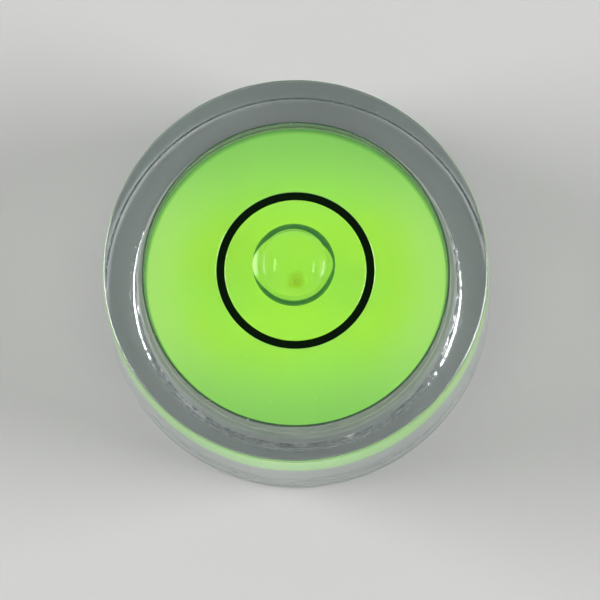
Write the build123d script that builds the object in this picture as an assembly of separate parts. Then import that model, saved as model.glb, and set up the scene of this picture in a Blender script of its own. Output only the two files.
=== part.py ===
from build123d import *
import os
from math import asin, copysign, cos, isclose, radians, sin, sqrt, tan

# Bullseye level: a clear round vial of green liquid that is read from above.
# Millimetres, +Z up. The origin is the middle of the foot, in the plane that the vial stands on.

# Clear body
body_d = 18.0
body_h = 9.0
edge_round = 0.15

# Liquid chamber, with a slightly domed ceiling
side_wall = 1.8
chamber_wall_h = 3.1
chamber_corner = 0.25
top_wall = 1.8
dome_radius = 115.0

# Mouth of the body below the chamber, where the base goes in up to a shoulder
shoulder_w = 0.42
mouth_chamfer = 0.2

# Ring groove in the top face, and the height of the paint in it
ring_d = 7.0
groove_floor_w = 0.3
groove_depth = 0.2
groove_wall_angle = 14.0
paint_depth = 0.13

# White base; its thickness leaves its underside set back from the foot
base_h = 2.5
base_chamfer = 0.08

# Cement that fills the joint round the base, and its bead in the corner under the base
joint_w = 0.14
bead_leg = 0.35
bead_bulge = 0.05

# Filler hole through the base: a pinhole from a shallow dimple in its top, and a wider bore below
dimple_d = 1.2
dimple_depth = 0.2
pinhole_d = 0.4
pinhole_l = 0.8
filler_bore_d = 2.2

# Plug in the filler bore, and the dab of sealant over it
plug_l = 1.35
plug_clearance = 0.01
plug_tip_chamfer = 0.25
seal_d = 3.4
seal_crown = 0.25

# Bubble pressed up against the ceiling: flat on top, widest a little below it, bowl shaped underneath
bubble_d = 3.8
bubble_h = 2.46
bubble_widest_depth = 0.92
bubble_flat_d = 2.26
bubble_bite = 0.02
bubble_x = -0.1
bubble_y = 0.5

# Places that follow from the sizes
body_r = body_d / 2
chamber_r = body_r - side_wall
ceiling_edge_z = body_h - top_wall
ceiling_top_z = ceiling_edge_z + dome_radius - sqrt(dome_radius**2 - chamber_r**2)
floor_z = ceiling_edge_z - chamber_wall_h
mouth_r = chamber_r + shoulder_w
base_r = mouth_r - joint_w
base_foot_z = floor_z - base_h
dimple_r = dimple_d / 2
dimple_z = floor_z - dimple_depth
pinhole_r = pinhole_d / 2
pinhole_foot_z = floor_z - pinhole_l
filler_r = filler_bore_d / 2
plug_r = filler_r - plug_clearance
plug_foot_z = pinhole_foot_z - plug_l


def turned(outline):
    """Solid that a closed outline, drawn as radius and height, sweeps about the vertical axis."""
    return revolve(make_face(Plane.XZ * outline), Axis.Z)


def round_edges(solid, radius):
    """Circular edges of a turned solid that have a given radius."""
    circles = solid.edges().filter_by(GeomType.CIRCLE)
    return circles.filter_by(lambda edge: isclose(edge.radius, radius, abs_tol=0.001))


def crown(edge_r, edge_z, top_z):
    """Arc from a round edge to the axis, level where it meets the axis."""
    rise = top_z - edge_z
    radius = (edge_r**2 + rise**2) / (2 * abs(rise))
    half_angle = asin(edge_r / radius) / 2
    middle_z = top_z - copysign(radius * (1 - cos(half_angle)), rise)
    return ThreePointArc((edge_r, edge_z), (radius * sin(half_angle), middle_z), (0, top_z))


def ring_section(height):
    """Section of the ring groove from its floor up to a height above it; the walls lean outwards."""
    inner_r = (ring_d - groove_floor_w) / 2
    outer_r = (ring_d + groove_floor_w) / 2
    lean = height * tan(radians(groove_wall_angle))
    floor = body_h - groove_depth
    return Polyline(
        (inner_r, floor),
        (outer_r, floor),
        (outer_r + lean, floor + height),
        (inner_r - lean, floor + height),
        close=True,
    )


# Space for the liquid: domed on top, with a round corner where the dome meets the wall
chamber_side = Polyline(
    (0, ceiling_top_z),
    (0, floor_z),
    (chamber_r, floor_z),
    (chamber_r, ceiling_edge_z),
)
chamber = turned(chamber_side + crown(chamber_r, ceiling_edge_z, ceiling_top_z))
ceiling_rim = round_edges(chamber, chamber_r).sort_by(Axis.Z)[-1]
chamber = fillet(ceiling_rim, chamber_corner)

# Clear acrylic body: a polished pot that opens downwards, with the ring groove cut in its top face
pot = Polyline(
    (0, floor_z),
    (0, body_h),
    (body_r, body_h),
    (body_r, 0),
    (mouth_r + mouth_chamfer, 0),
    (mouth_r, mouth_chamfer),
    (mouth_r, floor_z),
    close=True,
)
vial_body = turned(pot)
vial_body = fillet(round_edges(vial_body, body_r), edge_round)
vial_body -= chamber
vial_body -= turned(ring_section(groove_depth))

# Black paint on the floor of the groove
target_ring = turned(ring_section(paint_depth))

# White base: a disc pushed up to the shoulder, with the filler hole and its dimple in the middle
dimple_rim = Polyline((0, dimple_z), (0, floor_z), (dimple_r, floor_z))
dimple = turned(dimple_rim + crown(dimple_r, floor_z, dimple_z))
base = Polyline(
    (pinhole_r, floor_z),
    (base_r - base_chamfer, floor_z),
    (base_r, floor_z - base_chamfer),
    (base_r, base_foot_z),
    (filler_r, base_foot_z),
    (filler_r, pinhole_foot_z),
    (pinhole_r, pinhole_foot_z),
    close=True,
)
base_cap = turned(base) - dimple

# Cement: a thin sleeve between base and mouth, ending below in a bead that bulges a little
joint = Polyline(
    (mouth_r - bead_leg, base_foot_z),
    (base_r, base_foot_z),
    (base_r, floor_z - base_chamfer),
    (base_r - base_chamfer, floor_z),
    (mouth_r, floor_z),
    (mouth_r, base_foot_z - bead_leg),
)
bead_reach = bead_leg / 2 + bead_bulge * cos(radians(45))
bead_middle = (mouth_r - bead_reach, base_foot_z - bead_reach)
bead_face = ThreePointArc((mouth_r, base_foot_z - bead_leg), bead_middle, (mouth_r - bead_leg, base_foot_z))
cement_ring = turned(joint + bead_face)

# Plug pushed up the filler bore as far as the pinhole
plug = Polyline(
    (0, plug_foot_z),
    (plug_r, plug_foot_z),
    (plug_r, pinhole_foot_z - plug_tip_chamfer),
    (plug_r - plug_tip_chamfer, pinhole_foot_z),
    (0, pinhole_foot_z),
    close=True,
)
filler_plug = turned(plug)

# Sealant that fills the rest of the bore and stands a little proud of the base's underside
dab = Polyline(
    (0, plug_foot_z),
    (filler_r, plug_foot_z),
    (filler_r, base_foot_z),
    (seal_d / 2, base_foot_z),
)
dab_foot_z = base_foot_z - seal_crown
dab_side = Line((0, dab_foot_z), (0, plug_foot_z))
filler_seal = turned(dab + crown(seal_d / 2, base_foot_z, dab_foot_z) + dab_side)

# Green liquid: it fills the chamber, the dimple and the pinhole, all but the bubble
pinhole = Pos(0, 0, floor_z - pinhole_l / 2) * Cylinder(pinhole_r, pinhole_l)
liquid = chamber + dimple + pinhole

# Bubble: two quarter ellipses meet where it is widest, and its flat top bites into the ceiling
bubble_r = bubble_d / 2
flat_r = bubble_flat_d / 2
bubble_top_z = ceiling_top_z + bubble_bite
widest_z = bubble_top_z - bubble_widest_depth
bowl_h = bubble_h - bubble_widest_depth
bowl = EllipticalCenterArc((0, widest_z), bubble_r, bowl_h, start_angle=270, arc_size=90)
brow = EllipticalCenterArc((flat_r, widest_z), bubble_r - flat_r, bubble_widest_depth, arc_size=90)
flat_and_axis = Polyline((flat_r, bubble_top_z), (0, bubble_top_z), (0, widest_z - bowl_h))
bubble = turned(bowl + brow + flat_and_axis)
level_liquid = liquid - Pos(bubble_x, bubble_y, 0) * bubble

# One file for each piece
pieces = {
    "vial_body": vial_body,
    "target_ring": target_ring,
    "level_liquid": level_liquid,
    "base_cap": base_cap,
    "cement_ring": cement_ring,
    "filler_plug": filler_plug,
    "filler_seal": filler_seal,
}
os.makedirs("parts", exist_ok=True)
for name, piece in pieces.items():
    export_step(piece, f"parts/{name}.step")
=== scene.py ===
from math import acos, asin, cos, degrees, pi, radians, sin, sqrt, tan

import bmesh
import bpy
from mathutils import Matrix, Vector, noise


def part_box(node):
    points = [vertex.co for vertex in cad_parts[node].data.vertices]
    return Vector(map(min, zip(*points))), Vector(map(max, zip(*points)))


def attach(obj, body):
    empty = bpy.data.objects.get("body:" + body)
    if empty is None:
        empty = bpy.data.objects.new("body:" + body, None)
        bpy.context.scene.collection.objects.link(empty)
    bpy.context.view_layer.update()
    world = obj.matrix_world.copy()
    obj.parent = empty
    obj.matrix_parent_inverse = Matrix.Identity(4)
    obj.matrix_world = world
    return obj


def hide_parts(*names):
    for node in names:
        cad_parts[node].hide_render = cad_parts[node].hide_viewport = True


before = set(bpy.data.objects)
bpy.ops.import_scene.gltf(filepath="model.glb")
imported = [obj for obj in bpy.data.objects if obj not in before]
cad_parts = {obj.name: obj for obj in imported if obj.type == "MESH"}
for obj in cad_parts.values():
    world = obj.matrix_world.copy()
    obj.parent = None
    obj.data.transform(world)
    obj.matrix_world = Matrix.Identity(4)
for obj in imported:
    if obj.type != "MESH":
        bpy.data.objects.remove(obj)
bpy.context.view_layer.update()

# CLEAR BODY
# A pot of clear acrylic that opens downwards, turned or moulded in one piece and polished all over.
# Its ceiling is a shallow dome, its foot a plain ring, and a groove for the target is cut in its top face.
# Use has left fine dust, a few specks and hairline scratches on it, and its mouth is less smooth.
MM = 0.001
AROUND = 256
DOME_STEPS = 24
CORNER_STEPS = 12
EDGE_STEPS = 8
LIP_STEPS = 4
FLAT_CORNER = radians(35)
body_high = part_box("vial_body")[1]
liquid_low, liquid_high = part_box("level_liquid")
base_low, base_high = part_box("base_cap")
bead_low, bead_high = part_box("cement_ring")
ring_low, ring_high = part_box("target_ring")

body_r = body_high.x
body_h = body_high.z
edge_round = 0.15 * MM
chamber_r = liquid_high.x
top_wall = 1.8 * MM
dome_radius = 115 * MM
dome_centre_z = body_h - top_wall - sqrt(dome_radius**2 - chamber_r**2)
chamber_corner = 0.25 * MM
floor_z = base_high.z
mouth_r = bead_high.x
mouth_round = 0.2 * MM
bead_foot_z = bead_low.z
groove_floor_z = ring_low.z
groove_angle = radians(14)
groove_floor_w = 0.3 * MM
groove_edge_round = 0.09 * MM
ring_r = ring_high.x - tan(groove_angle) * (ring_high.z - ring_low.z) - groove_floor_w / 2

# Pieces that touch overlap by this much, so that no two faces lie in one plane
overlap = 0.01 * MM


def arc(centre, radius, start, end, steps):
    """Points of a round stretch of an outline, from one angle to another in degrees."""
    angles = [radians(start + (end - start) * i / steps) for i in range(steps + 1)]
    return [(centre[0] + radius * cos(a), centre[1] + radius * sin(a)) for a in angles]


def ceiling(gap=0.0):
    """Outline of the chamber's dome and of the round corner where it meets the wall, raised by a gap."""
    top = [chamber_r * i / DOME_STEPS for i in range(DOME_STEPS)]
    corner_r = chamber_r - chamber_corner
    corner_reach = dome_radius - chamber_corner
    corner = (corner_r, dome_centre_z + sqrt(corner_reach**2 - corner_r**2))
    turn = degrees(acos(corner_r / corner_reach))
    points = [(r, dome_centre_z + sqrt(dome_radius**2 - r**2) + gap) for r in top]
    return points + arc(corner, chamber_corner + gap, turn, 0, CORNER_STEPS)


def sweep(bm, outline, centre=(0, 0), closed=False, around=AROUND):
    """Spins an outline of radius and height into a closed shell about a vertical axis through centre."""
    before = set(bm.verts)
    points = [bm.verts.new((centre[0] + radius, centre[1], height)) for radius, height in outline]
    pairs = list(zip(points, points[1:]))
    if closed:
        pairs.append((points[-1], points[0]))
    lines = [bm.edges.new(pair) for pair in pairs]
    axis = {"axis": (0, 0, 1), "cent": (*centre, 0)}
    bmesh.ops.spin(bm, geom=points + lines, angle=2 * pi, steps=around, use_merge=True, **axis)
    bmesh.ops.remove_doubles(bm, verts=[vert for vert in bm.verts if vert not in before], dist=1e-7)
    shell = [face for face in bm.faces if face.verts[0] not in before]
    bmesh.ops.recalc_face_normals(bm, faces=shell)
    return shell


def finished(name, bm, materials, node):
    """Makes a bmesh the smooth piece that stands for a CAD node, with its flat faces kept flat."""
    mesh = bpy.data.meshes.new(name)
    bm.to_mesh(mesh)
    bm.free()
    for material in materials:
        mesh.materials.append(material)
    mesh.shade_smooth()
    piece = bpy.data.objects.new(name, mesh)
    bpy.context.scene.collection.objects.link(piece)
    mesh.set_sharp_from_angle(angle=FLAT_CORNER)
    weighted = piece.modifiers.new("flat faces stay flat", "WEIGHTED_NORMAL")
    weighted.keep_sharp = True
    weighted.weight = 100
    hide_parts(node)
    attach(piece, "root")


def add(material, kind, **sockets):
    """Adds a node to a material; each named socket takes a plain value or another node's output."""
    made = material.node_tree.nodes.new("ShaderNode" + kind)
    for socket, value in sockets.items():
        target = made.inputs[socket.replace("_", " ")]
        if isinstance(value, bpy.types.NodeSocket):
            material.node_tree.links.new(value, target)
        else:
            target.default_value = value
    return made


def shader(name, **sockets):
    """A material whose Principled shader takes plain values by socket name."""
    material = bpy.data.materials.new(name)
    material.use_nodes = True
    principled = material.node_tree.nodes["Principled BSDF"]
    for socket, value in sockets.items():
        principled.inputs[socket.replace("_", " ")].default_value = value
    return material


def clear(name, ior, through=1.0, **sockets):
    """A smooth and colourless clear material that lets a share of the light through."""
    plain = {"Base_Color": (1, 1, 1, 1), "Roughness": 0.0, "IOR": ior, "Transmission_Weight": through}
    return shader(name, **plain, **sockets)


def wire(material, socket, output):
    """Feeds a socket of the material's Principled shader from a node's output."""
    principled = material.node_tree.nodes["Principled BSDF"]
    material.node_tree.links.new(output, principled.inputs[socket])


def absorb(material, colour, density):
    """Gives a clear material a plain tint that deepens with the way light takes through it."""
    tree = material.node_tree
    volume = tree.nodes.new("ShaderNodeVolumeAbsorption")
    volume.inputs["Color"].default_value = (*colour, 1)
    volume.inputs["Density"].default_value = density
    tree.links.new(volume.outputs["Volume"], tree.nodes["Material Output"].inputs["Volume"])


def place(material, stretch=(1, 1, 1), turn=0):
    """Object coordinates, shrunk along each axis by stretch and turned about the vial's axis."""
    spot = add(material, "TexCoord").outputs["Object"]
    mapping = add(material, "Mapping", Vector=spot, Scale=stretch, Rotation=(0, 0, turn))
    return mapping.outputs["Vector"]


def cloudy(material, size, detail=3.0, where=None):
    """Noise whose patches are about a given size in metres, from 0 to 1."""
    where = where or place(material)
    made = add(material, "TexNoise", Vector=where, Scale=1 / size, Detail=detail)
    return made.outputs["Fac"]


def graded(material, value, start, end, low=0.0, high=1.0):
    """Maps a value from one range to another with soft ends."""
    made = material.node_tree.nodes.new("ShaderNodeMapRange")
    made.interpolation_type = "SMOOTHSTEP"
    material.node_tree.links.new(value, made.inputs["Value"])
    made.inputs["From Min"].default_value = start
    made.inputs["From Max"].default_value = end
    made.inputs["To Min"].default_value = low
    made.inputs["To Max"].default_value = high
    return made.outputs["Result"]


def combined(material, operation, first, second=0.0):
    """Result of one Math node, whose two inputs are plain values or other nodes' outputs."""
    made = material.node_tree.nodes.new("ShaderNodeMath")
    made.operation = operation
    for socket, value in zip(made.inputs, (first, second)):
        if isinstance(value, bpy.types.NodeSocket):
            material.node_tree.links.new(value, socket)
        else:
            socket.default_value = value
    return made.outputs["Value"]


def bumpy(material, height, depth):
    """Raises the surface by a height from 0 to 1 that stands for a depth in metres."""
    bump = add(material, "Bump", Height=height, Distance=depth, Strength=1.0)
    wire(material, "Normal", bump.outputs["Normal"])


def dust(material, spacing, radius, share):
    """Small round specks, about spacing apart, where only a share of them is there; 1 on a speck."""
    cells = add(material, "TexVoronoi", Vector=place(material), Scale=1 / spacing)
    speck = graded(material, cells.outputs["Distance"], radius / spacing, 0.4 * radius / spacing)
    chosen = graded(material, cells.outputs["Color"], 1 - share, 1 - share + 0.05)
    return combined(material, "MULTIPLY", speck, chosen)


def hairlines(material, turn, spread):
    """Thin straight scratches in one direction, in patches of about a given size; 1 in a scratch."""
    width = 0.04 * MM
    drawn_out = place(material, (0.03, 1, 1), turn)
    lines = graded(material, cloudy(material, width, 0.0, drawn_out), 0.78, 0.84)
    patches = graded(material, cloudy(material, spread, 1.0), 0.55, 0.65)
    return combined(material, "MULTIPLY", lines, patches)


def from_axis(material, x=0.0, y=0.0):
    """Distance from an upright axis, with the two parts of it along X and Y."""
    spot = add(material, "TexCoord").outputs["Object"]
    level = add(material, "Mapping", Vector=spot, Location=(-x, -y, 0), Scale=(1, 1, 0)).outputs["Vector"]
    length = material.node_tree.nodes.new("ShaderNodeVectorMath")
    length.operation = "LENGTH"
    material.node_tree.links.new(level, length.inputs[0])
    parts = add(material, "SeparateXYZ", Vector=level).outputs
    return length.outputs["Value"], parts["X"], parts["Y"]


def height_on(material):
    """Height above the foot."""
    spot = add(material, "TexCoord").outputs["Object"]
    return add(material, "SeparateXYZ", Vector=spot).outputs["Z"]


# The outline runs from the middle of the ceiling down the chamber, round the mouth and foot and over the top
rim_low = (body_r - edge_round, edge_round)
rim_high = (body_r - edge_round, body_h - edge_round)
lip_z = body_h - groove_edge_round
lip_from_ring = groove_floor_w / 2 + (lip_z - groove_floor_z) * tan(groove_angle)
lip_from_ring += groove_edge_round / cos(groove_angle)
lip_turn = degrees(groove_angle)
outline = ceiling() + [
    (chamber_r, floor_z - overlap),
    (mouth_r, floor_z - overlap),
    (mouth_r, bead_foot_z),
    *arc((mouth_r + mouth_round, mouth_round), mouth_round, 180, 270, EDGE_STEPS),
    *arc(rim_low, edge_round, -90, 0, EDGE_STEPS),
    *arc(rim_high, edge_round, 0, 90, EDGE_STEPS),
    *arc((ring_r + lip_from_ring, lip_z), groove_edge_round, 90, 180 - lip_turn, LIP_STEPS),
    (ring_r + groove_floor_w / 2, groove_floor_z),
    (ring_r - groove_floor_w / 2, groove_floor_z),
    *arc((ring_r - lip_from_ring, lip_z), groove_edge_round, lip_turn, 90, LIP_STEPS),
    (0, body_h),
]

# Where acrylic meets liquid or cement, one set of faces bends the light by the ratio of the two
ACRYLIC_IOR = 1.49
LIQUID_IOR = 1.40
haze = {"Sheen_Weight": 0.045, "Sheen_Roughness": 0.9, "Sheen_Tint": (0.5, 1.0, 0.9, 1)}
acrylic = clear("clear_acrylic", ACRYLIC_IOR, 0.985, **haze)
absorb(acrylic, (0.84, 0.93, 0.96), 40)
wetted = clear("acrylic_against_liquid", ACRYLIC_IOR / LIQUID_IOR)
joined = clear("acrylic_against_cement", 1.0)

# Specks and scratches lie all over; the marks of the tool are only in the mouth, below the cement
mark_depth = 0.006 * MM
tool_mark_size = 0.35 * MM
tool_mark_rise = 7.0
soft_edge = 0.02 * MM
specks = dust(acrylic, spacing=0.5 * MM, radius=0.035 * MM, share=0.4)
one_way = hairlines(acrylic, turn=0.5, spread=3 * MM)
other_way = hairlines(acrylic, turn=2.1, spread=4 * MM)
scratches = combined(acrylic, "MAXIMUM", one_way, other_way)
marks = combined(acrylic, "MAXIMUM", specks, combined(acrylic, "MULTIPLY", scratches, 0.4))
off_axis = from_axis(acrylic)[0]
cut_in = graded(acrylic, off_axis, mouth_r + 1.3 * mouth_round, mouth_r + mouth_round)
below = graded(acrylic, height_on(acrylic), bead_foot_z + soft_edge, bead_foot_z)
cut_mouth = combined(acrylic, "MULTIPLY", cut_in, below)
tool_marks = cloudy(acrylic, tool_mark_size, 2.0, place(acrylic, (1, 1, 0.4)))
tool_marks = combined(acrylic, "MULTIPLY", cut_mouth, tool_marks)
rough = combined(acrylic, "MAXIMUM", marks, combined(acrylic, "MULTIPLY", tool_marks, 0.3))
wire(acrylic, "Roughness", graded(acrylic, rough, 0.0, 1.0, 0.0, 0.5))
ridges = combined(acrylic, "MULTIPLY", tool_marks, tool_mark_rise)
bumpy(acrylic, combined(acrylic, "MAXIMUM", marks, ridges), mark_depth)

bm = bmesh.new()
sweep(bm, outline)
for face in bm.faces:
    middle = face.calc_center_median()
    reach = middle.xy.length
    if reach < chamber_r and floor_z - overlap < middle.z < body_h - top_wall / 2:
        face.material_index = 1
    elif reach < mouth_r and bead_foot_z < middle.z < floor_z:
        face.material_index = 2
finished("clear_body", bm, [acrylic, wetted, joined], "vial_body")

# TARGET RING
# Black paint wiped into the groove and left a little below the top face.
# It has dried matt, with a faint grain.
paint_z = ring_high.z
paint_lean = tan(groove_angle) * (paint_z - groove_floor_z)
half_w = groove_floor_w / 2
outline = [
    (ring_r - half_w - overlap, groove_floor_z - overlap),
    (ring_r + half_w + overlap, groove_floor_z - overlap),
    (ring_r + half_w + paint_lean + overlap, paint_z),
    (ring_r - half_w - paint_lean - overlap, paint_z),
]
paint = shader("ring_paint", Base_Color=(0.001, 0.007, 0.001, 1), Specular_IOR_Level=0.05)
wire(paint, "Roughness", graded(paint, cloudy(paint, 0.3 * MM), 0.3, 0.7, 0.45, 0.7))
bumpy(paint, cloudy(paint, 0.12 * MM), 0.008 * MM)
bm = bmesh.new()
sweep(bm, outline, closed=True)
finished("target_ring_paint", bm, [paint], "target_ring")

# WHITE BASE
# A moulded disc of white plastic, pushed up the mouth to the shoulder; the liquid is read against it.
# The wetted face is green with a painted glow. It has painted light, paler towards the wall, and painted
# shade at the near and far sides and at its edge; the dimple is a darker olive, painted shade, and the rim
# and side are greyed, a painted shade.
pinhole_r = 0.2 * MM
dimple_r = 0.6 * MM
dimple_depth = 0.2 * MM
pinhole_foot_z = liquid_low.z
wall_shade_w = 0.3 * MM


def mixed(material, factor, first, second):
    """One colour that turns into another as the factor goes from 0 to 1."""
    made = material.node_tree.nodes.new("ShaderNodeMix")
    made.data_type = "RGBA"
    for socket, value in zip([made.inputs[i] for i in (0, 6, 7)], (factor, first, second)):
        if isinstance(value, bpy.types.NodeSocket):
            material.node_tree.links.new(value, socket)
        else:
            socket.default_value = value
    return made.outputs[2]


def cover(node, material):
    """Gives a CAD node, whose shape stays, one material all over."""
    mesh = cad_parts[node].data
    mesh.materials.clear()
    mesh.materials.append(material)


white = shader("white_base", Specular_IOR_Level=0.4, Emission_Strength=1.0)
out, _, ahead = from_axis(white)
inside = graded(white, out, chamber_r, chamber_r - overlap)
above = graded(white, height_on(white), pinhole_foot_z - soft_edge, pinhole_foot_z + soft_edge)
wet = combined(white, "MULTIPLY", inside, above)
# Painted light: the wetted face turns paler and glows more towards the wall
painted_light_by_wall = graded(white, out, 0.55 * chamber_r, chamber_r)
# Painted shade: the wetted face is dimmer towards the near and far sides
painted_shade_near_far = combined(white, "ABSOLUTE", ahead)
painted_shade_near_far = graded(white, painted_shade_near_far, 0.25 * chamber_r, 0.95 * chamber_r)
# Painted shade darkens the last strip of the wetted face at its edge
painted_edge_shade = graded(white, out, chamber_r - wall_shade_w, chamber_r)
# Painted shade: the dimple is a darker olive, with a dimmer painted glow
painted_dimple_shade = graded(white, out, 1.15 * dimple_r, 0.4 * dimple_r)
# Painted shade greys the base's rim and side
painted_side_shade = graded(white, out, chamber_r, chamber_r + 5 * overlap)

# Each painted tint of light or shade is a place on the wetted face, the green that it turns to and the
# painted glow that it gives off
patches = graded(white, cloudy(white, 3.5 * MM, 1.0), 0.35, 0.65)
green = mixed(white, patches, (0.54, 0.88, 0.1, 1), (0.47, 0.86, 0.16, 1))
# Painted glow on the wetted face, which is no lamp
painted_glow = (0.18, 0.35, 0.022, 1)
painted_tints = [
    (painted_light_by_wall, (0.58, 0.88, 0.32, 1), (0.19, 0.34, 0.08, 1)),
    (painted_shade_near_far, (0.36, 0.72, 0.22, 1), (0.12, 0.27, 0.06, 1)),
    (painted_edge_shade, (0.1, 0.35, 0.08, 1), (0.04, 0.14, 0.02, 1)),
    (painted_dimple_shade, (0.5, 0.75, 0.0, 1), (0.16, 0.25, 0.0, 1)),
]
for where, tint, light in painted_tints:
    green = mixed(white, where, green, tint)
    painted_glow = mixed(white, where, painted_glow, light)
mould_white = mixed(white, cloudy(white, 1.2 * MM), (0.84, 0.84, 0.82, 1), (0.9, 0.9, 0.88, 1))
# The rim and side take a painted shade grey
mould_white = mixed(white, painted_side_shade, mould_white, (0.53, 0.56, 0.52, 1))
wire(white, "Base Color", mixed(white, wet, mould_white, green))
wire(white, "Emission Color", mixed(white, wet, (0, 0, 0, 1), painted_glow))
wire(white, "Roughness", graded(white, cloudy(white, 0.2 * MM), 0.3, 0.7, 0.4, 0.55))
bumpy(white, cloudy(white, 0.15 * MM), 0.004 * MM)
cover("base_cap", white)

# CEMENT
# Clear solvent cement that was run into the joint between the base and the mouth, and has set hard.
# It is one with the acrylic, so only its free face is seen: a lumpy bead in the corner below the base.
base_r = base_high.x
base_foot_z = base_low.z
base_chamfer = 0.08 * MM
bead_leg = base_foot_z - bead_foot_z
bead_bulge = 0.05 * MM
lump = 0.09 * MM
lump_size = 0.9 * MM
ripple = 0.035 * MM
ripple_size = 0.22 * MM
held = 0.02
BEAD_STEPS = 10
CEMENT_AROUND = 720
bead_face = []
for step in range(1, BEAD_STEPS):
    share = step / BEAD_STEPS
    bulge = bead_bulge * sin(pi * share) * cos(radians(45))
    bead_face.append((mouth_r - bead_leg * share - bulge, bead_foot_z + bead_leg * share - bulge))
outline = [(mouth_r + overlap, bead_foot_z)] + bead_face + [
    (mouth_r - bead_leg, base_foot_z + overlap),
    (base_r - overlap, base_foot_z + overlap),
    (base_r - overlap, floor_z - base_chamfer),
    (base_r - base_chamfer - overlap, floor_z - overlap / 2),
    (mouth_r + overlap, floor_z + overlap / 2),
]

# The bead's two edges are held on the acrylic and the base, and what lies between them is lumpy
bm = bmesh.new()
sweep(bm, outline, closed=True, around=CEMENT_AROUND)
for face in bm.faces:
    face.material_index = int(face.calc_center_median().z > base_foot_z)
for vert in bm.verts:
    share = (vert.co.z - bead_foot_z) / bead_leg
    if held < share < 1 - held:
        away = (Vector((-vert.co.x, -vert.co.y, 0)).normalized() - Vector((0, 0, 1))).normalized()
        rise = lump * noise.noise(vert.co / lump_size) + ripple * noise.noise(vert.co / ripple_size)
        vert.co += away * rise * sin(pi * share)
cement = clear("cement", ACRYLIC_IOR)
wire(cement, "Roughness", graded(cement, cloudy(cement, 0.3 * MM), 0.35, 0.7, 0.0, 0.12))
bumpy(cement, cloudy(cement, 0.1 * MM), 0.004 * MM)
joint = clear("cement_against_acrylic", 1.0)
finished("set_cement", bm, [cement, joint], "cement_ring")

# LEVEL LIQUID
# Thin spirit dyed a fluorescent yellow-green; it fills the chamber but for one bubble.
# The bubble's steep edge and the chamber's round corner are opaque faces with painted reflections of the
# chamber's sides, as dark green lines; the bubble's is broad at its near and far sides and has a painted
# highlight and painted glow where the light comes in.
bubble_r = 1.9 * MM
bubble_h = 2.46 * MM
widest_depth = 0.92 * MM
flat_r = 1.13 * MM
bubble_bite = 0.02 * MM
bubble_film = 0.02 * MM
bubble_x, bubble_y = -0.1 * MM, 0.5 * MM
ceiling_top_z = dome_centre_z + dome_radius
bubble_top_z = ceiling_top_z - bubble_film
widest_z = ceiling_top_z + bubble_bite - widest_depth
brow_h = bubble_top_z - widest_z
brow_w = bubble_r - flat_r
bowl_h = bubble_h - widest_depth
BROW_STEPS = 40
BOWL_STEPS = 32
brow = [(flat_r + brow_w * r, widest_z + brow_h * h) for r, h in arc((0, 0), 1, 90, 0, BROW_STEPS)]
bowl = [(bubble_r * r, widest_z + bowl_h * h) for r, h in arc((0, 0), 1, 0, -90, BOWL_STEPS)]
bm = bmesh.new()
bubble = sweep(bm, [(0, bubble_top_z)] + brow + bowl[1:], (bubble_x, bubble_y))
bmesh.ops.reverse_faces(bm, faces=bubble)
bubble_axis = Vector((bubble_x, bubble_y))
# Brow faces within this width of the bubble's edge take the painted reflection
painted_reflection_w = 0.38 * MM
for face in bubble:
    middle = face.calc_center_median()
    reach = (middle.xy - bubble_axis).length
    face.material_index = 2 if middle.z > widest_z and reach > bubble_r - painted_reflection_w else 1

# Outside of the liquid, down into the dimple and the pinhole
dimple_radius = (dimple_r**2 + dimple_depth**2) / (2 * dimple_depth)
dimple_centre = (0, floor_z - dimple_depth + dimple_radius - overlap)
rim_turn = degrees(asin(dimple_r / dimple_radius))
hole_turn = degrees(asin(pinhole_r / dimple_radius))
outline = ceiling(overlap) + [
    (chamber_r + overlap, floor_z - overlap),
    *arc(dimple_centre, dimple_radius, rim_turn - 90, hole_turn - 90, EDGE_STEPS),
    (pinhole_r + overlap, pinhole_foot_z - overlap),
    (0, pinhole_foot_z - overlap),
]
shell = sweep(bm, outline)
# Faces of the round corner within this width take a painted dark reflection line
painted_corner_line_w = 0.095 * MM
corner_foot_z = body_h - top_wall - chamber_corner / 2
for face in shell:
    middle = face.calc_center_median()
    if middle.z > corner_foot_z and middle.xy.length > chamber_r - painted_corner_line_w:
        face.material_index = 3
dye = clear("green_liquid", 1.0)
absorb(dye, (0.68, 0.968, 0.04), 125)
at_bubble = clear("liquid_at_bubble", LIQUID_IOR)

# Painted dark reflection ring of the bubble: its width goes by the direction from the bubble's axis, and a
# painted highlight breaks it
dark_far_w = 0.31 * MM
dark_near_w = 0.175 * MM
dark_right_w = 0.1 * MM
dark_soft = 0.03 * MM
lit_w = 0.26 * MM
lit_soft = 0.1 * MM
# Painted reflection: an opaque dark green ring, with a painted highlight patch and a painted glow
painted_reflection = shader("bubble_edge", Specular_IOR_Level=0.15, Roughness=0.12, Emission_Strength=1.0)
out, across, ahead = from_axis(painted_reflection, bubble_x, bubble_y)
rightwards = combined(painted_reflection, "DIVIDE", across, out)
onwards = combined(painted_reflection, "DIVIDE", ahead, out)
side_w = graded(painted_reflection, rightwards, -0.9, 0.2, 0.0, dark_right_w)
end_w = graded(painted_reflection, onwards, -0.3, 0.3, dark_near_w, dark_far_w)
share = graded(painted_reflection, combined(painted_reflection, "ABSOLUTE", onwards), 0.0, 0.85)
dark_w = combined(painted_reflection, "ADD", side_w, combined(painted_reflection, "MULTIPLY", end_w, share))
dark_w = combined(painted_reflection, "MINIMUM", dark_w, end_w)
inwards = combined(painted_reflection, "SUBTRACT", bubble_r, out)
painted_dark_ring = graded(painted_reflection, combined(painted_reflection, "SUBTRACT", inwards, dark_w), dark_soft, -dark_soft)
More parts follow.
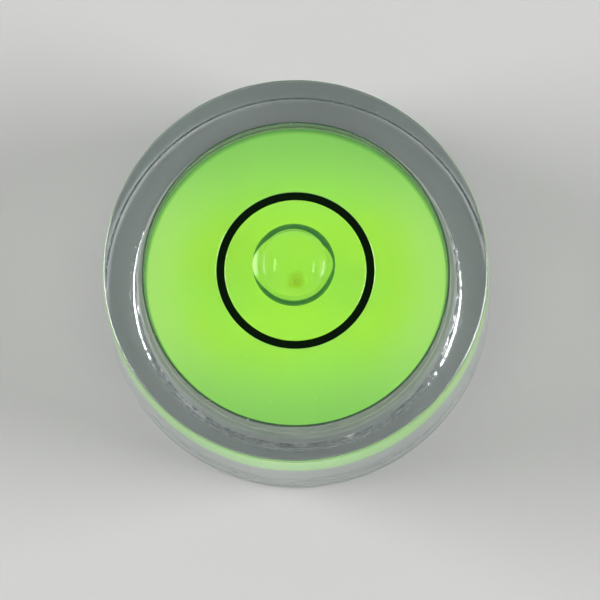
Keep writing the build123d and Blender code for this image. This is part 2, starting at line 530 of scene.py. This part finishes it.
# Painted highlight: a pale glowing patch on the left of the ring, where the left lamp would reflect
outer = graded(painted_reflection, inwards, lit_w, lit_w - lit_soft)
painted_light_patch = combined(painted_reflection, "MULTIPLY", outer, graded(painted_reflection, rightwards, -0.93, -0.985))
green = mixed(painted_reflection, painted_light_patch, (0.26, 0.55, 0.04, 1), (0.3, 0.5, 0.2, 1))
wire(painted_reflection, "Base Color", mixed(painted_reflection, painted_dark_ring, green, (0.015, 0.15, 0.006, 1)))
painted_glow = mixed(painted_reflection, painted_light_patch, (0.17, 0.45, 0.02, 1), (0.5, 0.8, 0.26, 1))
wire(painted_reflection, "Emission Color", mixed(painted_reflection, painted_dark_ring, painted_glow, (0.006, 0.075, 0.002, 1)))
# Painted reflection: an opaque dark green line at the chamber's round corner
corner = shader("chamber_corner", Specular_IOR_Level=0.1, Roughness=0.3)
patches = cloudy(corner, 1.5 * MM)
wire(corner, "Base Color", mixed(corner, patches, (0.02, 0.09, 0.015, 1), (0.04, 0.14, 0.03, 1)))
finished("green_liquid", bm, [dye, at_bubble, painted_reflection, corner], "level_liquid")

# FILLER PLUG
# A small plug of off-white plastic, pressed up the filler bore after the vial is filled.
# Its tip closes the pinhole, and is painted olive with a painted glow.
plug = shader("filler_plug", Specular_IOR_Level=0.4, Emission_Strength=1.0)
# Painted glow and painted olive shade on the plug's tip
tip = graded(plug, height_on(plug), pinhole_foot_z - soft_edge, pinhole_foot_z - soft_edge / 4)
painted_light_patch = combined(plug, "MULTIPLY", tip, graded(plug, from_axis(plug)[0], 1.1 * pinhole_r, pinhole_r))
wire(plug, "Emission Color", mixed(plug, painted_light_patch, (0, 0, 0, 1), (0.17, 0.27, 0.0, 1)))
off_white = mixed(plug, cloudy(plug, 0.6 * MM), (0.78, 0.76, 0.66, 1), (0.84, 0.82, 0.73, 1))
wire(plug, "Base Color", mixed(plug, painted_light_patch, off_white, (0.5, 0.5, 0.0, 1)))
wire(plug, "Roughness", graded(plug, cloudy(plug, 0.15 * MM), 0.3, 0.7, 0.35, 0.5))
bumpy(plug, cloudy(plug, 0.12 * MM), 0.003 * MM)
cover("filler_plug", plug)

# SEALANT
# A glossy dab of cream-coloured sealant that was dropped over the plug and has spread on the base.
# Its skin has set a little wavy.
sealant = shader("sealant", Coat_Weight=0.4, Coat_Roughness=0.1)
cream = mixed(sealant, cloudy(sealant, 0.9 * MM, 5.0), (0.78, 0.72, 0.55, 1), (0.88, 0.84, 0.71, 1))
wire(sealant, "Base Color", cream)
wire(sealant, "Roughness", graded(sealant, cloudy(sealant, 0.3 * MM), 0.3, 0.7, 0.2, 0.4))
bumpy(sealant, cloudy(sealant, 0.5 * MM, 4.0), 0.02 * MM)
cover("filler_seal", sealant)

# FLOOR, LIGHTS AND CAMERA
# The vial stands on a plain pale floor, in a grey tent that is dimmer near the floor and at its top opening.
# A round softbox on each side lights it from a little above.
floor_gap = 0.02 * MM
floor_r = 1.2
bm = bmesh.new()
under_foot = Matrix.Translation((0, 0, -floor_gap))
bmesh.ops.create_circle(bm, cap_ends=True, segments=96, radius=floor_r, matrix=under_foot)
floor_mesh = bpy.data.meshes.new("floor")
bm.to_mesh(floor_mesh)
bm.free()
floor = bpy.data.objects.new("floor", floor_mesh)
bpy.context.scene.collection.objects.link(floor)
floor.data.materials.append(shader("floor", Base_Color=(0.66, 0.66, 0.65, 1), Roughness=0.9))

tent_strength = 0.32
world = bpy.data.worlds.new("studio")
bpy.context.scene.world = world
world.use_nodes = True
direction = add(world, "TexCoord").outputs["Generated"]
upwards = add(world, "SeparateXYZ", Vector=direction).outputs["Z"]
tent = graded(world, upwards, 0.05, 0.35, 0.35, 1.0)
opening = graded(world, upwards, 0.88, 0.97, 1.0, 0.3)
backdrop = world.node_tree.nodes["Background"]
world.node_tree.links.new(combined(world, "MULTIPLY", tent, opening), backdrop.inputs["Color"])
backdrop.inputs["Strength"].default_value = tent_strength


def softbox(name, place, size, strength):
    """A round soft lamp that faces the vial from a place in metres."""
    light = bpy.data.lights.new(name, "AREA")
    light.shape = "DISK"
    light.size = size
    light.energy = strength
    lamp = bpy.data.objects.new(name, light)
    bpy.context.scene.collection.objects.link(lamp)
    lamp.visible_camera = False
    lamp.location = place
    aim = Vector((0, 0, body_h / 2)) - lamp.location
    lamp.rotation_euler = aim.to_track_quat("-Z", "Y").to_euler()


softbox("left softbox", (-1.20, 0.12, 0.46), size=0.88, strength=17.6)
softbox("right softbox", (1.16, -0.08, 0.58), size=0.8, strength=14.4)

# The camera looks down almost along the vial's axis. In the picture, rim_r_px is the radius of the top edge,
# top_px the middle of the top face, and deeper_px the way from there to the middle of the foot.
photo_px = 600
rim_r_px = 193.1
top_px = (295.4, 270.3)
tilt = radians(8.3)
deeper_px = (3.1, 27.5)
distance = 1.1
sensor_w = 36
px = body_r / rim_r_px
towards = Vector((deeper_px[0], -deeper_px[1])).normalized()
back = Vector((sin(tilt) * towards.x, sin(tilt) * towards.y, cos(tilt)))
right = Vector((0, 1, 0)).cross(back).normalized()
up = back.cross(right)
middle = Vector((0, 0, body_h))
aim = middle + right * (photo_px / 2 - top_px[0]) * px - up * (photo_px / 2 - top_px[1]) * px
camera_data = bpy.data.cameras.new("camera")
camera_data.sensor_width = sensor_w
camera_data.lens = sensor_w * distance / (photo_px * px)
camera_data.clip_start = 0.01
camera_data.clip_end = 10
camera = bpy.data.objects.new("camera", camera_data)
bpy.context.scene.collection.objects.link(camera)
turn = Matrix((right, up, back)).transposed().to_4x4()
camera.matrix_world = Matrix.Translation(aim + back * distance) @ turn
bpy.context.scene.camera = camera
bpy.context.scene.view_settings.view_transform = "Standard"
